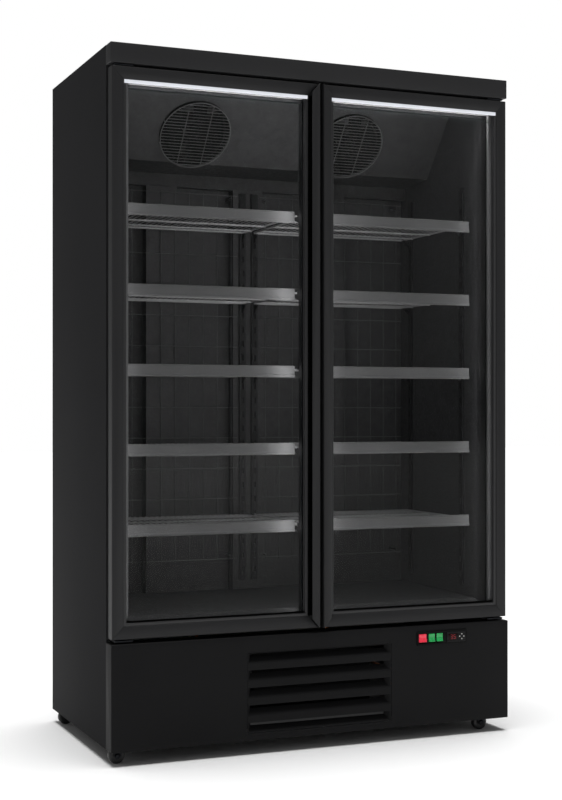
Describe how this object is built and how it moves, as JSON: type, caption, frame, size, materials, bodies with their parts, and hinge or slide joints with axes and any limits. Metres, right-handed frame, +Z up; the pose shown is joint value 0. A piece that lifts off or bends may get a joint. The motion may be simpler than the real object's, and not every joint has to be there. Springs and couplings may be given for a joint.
{
  "type": "glass door merchandiser",
  "caption": "Upright black refrigerated display cabinet with two hinged glass doors, wire shelves, top fan-coil unit and a louvred lower compartment on swivel castors.",
  "frame": {"origin": "centre of the footprint on the floor, under the castor wheels", "axes": "+X to the right seen from the front, +Y towards the back, +Z up"},
  "size_m": [1.26, 0.679, 1.998],
  "materials": {
    "black_powder_coat": "fine-textured satin black powder coat",
    "zinc_plated_steel": "galvanised sheet with a faint spangle",
    "insulation_foam": "rigid polyurethane foam",
    "dark_liner_coat": "smooth dark grey coated sheet",
    "black_pvc": "extruded black PVC",
    "bright_zinc": "zinc plated steel",
    "black_anodised_aluminium": "satin black anodised extrusion",
    "clear_glass": "clear float glass",
    "gasket_rubber": "soft matt black seal",
    "lamp_diffuser": "opal light diffuser",
    "finned_aluminium": "pressed aluminium fins",
    "guard_wire": "black dipped wire",
    "fan_plastic": "moulded black nylon",
    "motor_casing": "dark painted casing",
    "coated_wire": "dark grey plastic-coated wire",
    "black_strip_coat": "black coated steel",
    "grey_rail_plastic": "extruded grey plastic",
    "compressor_enamel": "gloss black enamel",
    "tray_plastic": "moulded black plastic",
    "copper_tube": "drawn copper tube",
    "bezel_plastic": "moulded black ABS",
    "red_rocker": "translucent red rocker",
    "green_rocker": "translucent green rocker",
    "controller_plastic": "dark controller face",
    "key_plastic": "grey key caps",
    "castor_nylon": "black nylon"
  },
  "bodies": {
    "cabinet": {"back_panel": "zinc_plated_steel", "base_chassis": "black_strip_coat", "castor_plates": "bright_zinc", "compressor": "compressor_enamel", "condenser": "finned_aluminium", "condenser_shroud": "black_strip_coat", "control_bezel": "bezel_plastic", "drip_tray": "tray_plastic", "evaporator_coil": "finned_aluminium", "evaporator_cover": "dark_liner_coat", "fan_guards": "guard_wire", "fan_motors": "motor_casing", "front_frame": "black_pvc", "header_fascia": "black_powder_coat", "hinge_brackets": "bright_zinc", "inner_liner": "dark_liner_coat", "insulation_foam": "insulation_foam", "kick_panel": "black_powder_coat", "louvre_grille": "black_powder_coat", "price_rails": "grey_rail_plastic", "rear_air_ducts": "dark_liner_coat", "rear_vent_cover": "zinc_plated_steel", "rear_wire_guard": "coated_wire", "refrigerant_pipes": "copper_tube", "roof_panel": "black_powder_coat", "shelf_clips": "black_strip_coat", "shelf_standards": "black_strip_coat", "shelves_left": "coated_wire", "shelves_right": "coated_wire", "side_panel_left": "black_powder_coat", "side_panel_right": "black_powder_coat", "thermostat": "controller_plastic"},
    "door_left": {"door_frame_left": "black_anodised_aluminium", "door_gasket_left": "gasket_rubber", "door_glass_left": "clear_glass", "door_lamp_left": "lamp_diffuser"},
    "door_right": {"door_frame_right": "black_anodised_aluminium", "door_gasket_right": "gasket_rubber", "door_glass_right": "clear_glass", "door_lamp_right": "lamp_diffuser"},
    "evaporator_fan_left": {"evaporator_fan_left": "fan_plastic"},
    "evaporator_fan_right": {"evaporator_fan_right": "fan_plastic"},
    "condenser_fan": {"condenser_fan": "fan_plastic"},
    "rocker_red": {"rocker_red": "red_rocker"},
    "rocker_green_1": {"rocker_green_1": "green_rocker"},
    "rocker_green_2": {"rocker_green_2": "green_rocker"},
    "thermostat_button_1": {"thermostat_button_1": "key_plastic"},
    "thermostat_button_2": {"thermostat_button_2": "key_plastic"},
    "thermostat_button_3": {"thermostat_button_3": "key_plastic"},
    "thermostat_button_4": {"thermostat_button_4": "key_plastic"},
    "castor_fork_front_left": {"castor_fork_front_left": "bright_zinc"},
    "castor_wheel_front_left": {"castor_wheel_front_left": "castor_nylon"},
    "brake_pedal_front_left": {"brake_pedal_front_left": "bright_zinc"},
    "castor_fork_front_right": {"castor_fork_front_right": "bright_zinc"},
    "castor_wheel_front_right": {"castor_wheel_front_right": "castor_nylon"},
    "brake_pedal_front_right": {"brake_pedal_front_right": "bright_zinc"},
    "castor_fork_rear_left": {"castor_fork_rear_left": "bright_zinc"},
    "castor_wheel_rear_left": {"castor_wheel_rear_left": "castor_nylon"},
    "castor_fork_rear_right": {"castor_fork_rear_right": "bright_zinc"},
    "castor_wheel_rear_right": {"castor_wheel_rear_right": "castor_nylon"}
  },
  "joints": [
    {"name": "door_left_hinge", "type": "hinge", "parent": "cabinet", "child": "door_left", "pos_m": [-0.612, -0.3045, 1.14], "axis": [0, 0, -1], "range_deg": [0, 110], "stiffness_Nm_per_rad": 1.5, "springref_deg": -17.19},
    {"name": "door_right_hinge", "type": "hinge", "parent": "cabinet", "child": "door_right", "pos_m": [0.612, -0.3045, 1.14], "axis": [0, 0, 1], "range_deg": [0, 110], "stiffness_Nm_per_rad": 1.5, "springref_deg": -17.19},
    {"name": "evaporator_fan_left_spin", "type": "hinge", "parent": "cabinet", "child": "evaporator_fan_left", "pos_m": [-0.2605, 0.04893, 1.84187], "axis": [0, -0.7734, -0.6339], "continuous": true},
    {"name": "evaporator_fan_right_spin", "type": "hinge", "parent": "cabinet", "child": "evaporator_fan_right", "pos_m": [0.2605, 0.04893, 1.84187], "axis": [0, -0.7734, -0.6339], "continuous": true},
    {"name": "condenser_fan_spin", "type": "hinge", "parent": "cabinet", "child": "condenser_fan", "pos_m": [0, -0.1575, 0.196], "axis": [0, -1, 0], "continuous": true},
    {"name": "rocker_red_press", "type": "hinge", "parent": "cabinet", "child": "rocker_red", "pos_m": [0.333, -0.3215, 0.2995], "axis": [1, 0, 0], "range_deg": [0, 12]},
    {"name": "rocker_green_1_press", "type": "hinge", "parent": "cabinet", "child": "rocker_green_1", "pos_m": [0.36375, -0.3215, 0.2995], "axis": [1, 0, 0], "range_deg": [0, 12]},
    {"name": "rocker_green_2_press", "type": "hinge", "parent": "cabinet", "child": "rocker_green_2", "pos_m": [0.39025, -0.3215, 0.2995], "axis": [1, 0, 0], "range_deg": [0, 12]},
    {"name": "thermostat_button_1_push", "type": "slide", "parent": "cabinet", "child": "thermostat_button_1", "axis": [0, 1, 0], "range_m": [0, 0.0008], "stiffness_N_per_m": 200, "springref_m": -0.0004},
    {"name": "thermostat_button_2_push", "type": "slide", "parent": "cabinet", "child": "thermostat_button_2", "axis": [0, 1, 0], "range_m": [0, 0.0008], "stiffness_N_per_m": 200, "springref_m": -0.0004},
    {"name": "thermostat_button_3_push", "type": "slide", "parent": "cabinet", "child": "thermostat_button_3", "axis": [0, 1, 0], "range_m": [0, 0.0008], "stiffness_N_per_m": 200, "springref_m": -0.0004},
    {"name": "thermostat_button_4_push", "type": "slide", "parent": "cabinet", "child": "thermostat_button_4", "axis": [0, 1, 0], "range_m": [0, 0.0008], "stiffness_N_per_m": 200, "springref_m": -0.0004},
    {"name": "castor_swivel_front_left", "type": "hinge", "parent": "cabinet", "child": "castor_fork_front_left", "pos_m": [-0.579, -0.2765, 0.065], "axis": [0, 0, 1], "continuous": true},
    {"name": "castor_roll_front_left", "type": "hinge", "parent": "castor_fork_front_left", "child": "castor_wheel_front_left", "pos_m": [-0.601, -0.2765, 0.023], "axis": [0, 1, 0], "continuous": true},
    {"name": "brake_pedal_front_left_press", "type": "hinge", "parent": "castor_fork_front_left", "child": "brake_pedal_front_left", "pos_m": [-0.589, -0.2765, 0.0545], "axis": [0, -1, 0], "range_deg": [0, 15]},
    {"name": "castor_swivel_front_right", "type": "hinge", "parent": "cabinet", "child": "castor_fork_front_right", "pos_m": [0.579, -0.2765, 0.065], "axis": [0, 0, 1], "continuous": true},
    {"name": "castor_roll_front_right", "type": "hinge", "parent": "castor_fork_front_right", "child": "castor_wheel_front_right", "pos_m": [0.557, -0.2765, 0.023], "axis": [0, 1, 0], "continuous": true},
    {"name": "brake_pedal_front_right_press", "type": "hinge", "parent": "castor_fork_front_right", "child": "brake_pedal_front_right", "pos_m": [0.569, -0.2765, 0.0545], "axis": [0, -1, 0], "range_deg": [0, 15]},
    {"name": "castor_swivel_rear_left", "type": "hinge", "parent": "cabinet", "child": "castor_fork_rear_left", "pos_m": [-0.579, 0.2875, 0.065], "axis": [0, 0, 1], "continuous": true},
    {"name": "castor_roll_rear_left", "type": "hinge", "parent": "castor_fork_rear_left", "child": "castor_wheel_rear_left", "pos_m": [-0.601, 0.2875, 0.023], "axis": [0, 1, 0], "continuous": true},
    {"name": "castor_swivel_rear_right", "type": "hinge", "parent": "cabinet", "child": "castor_fork_rear_right", "pos_m": [0.579, 0.2875, 0.065], "axis": [0, 0, 1], "continuous": true},
    {"name": "castor_roll_rear_right", "type": "hinge", "parent": "castor_fork_rear_right", "child": "castor_wheel_rear_right", "pos_m": [0.557, 0.2875, 0.023], "axis": [0, 1, 0], "continuous": true}
  ]
}
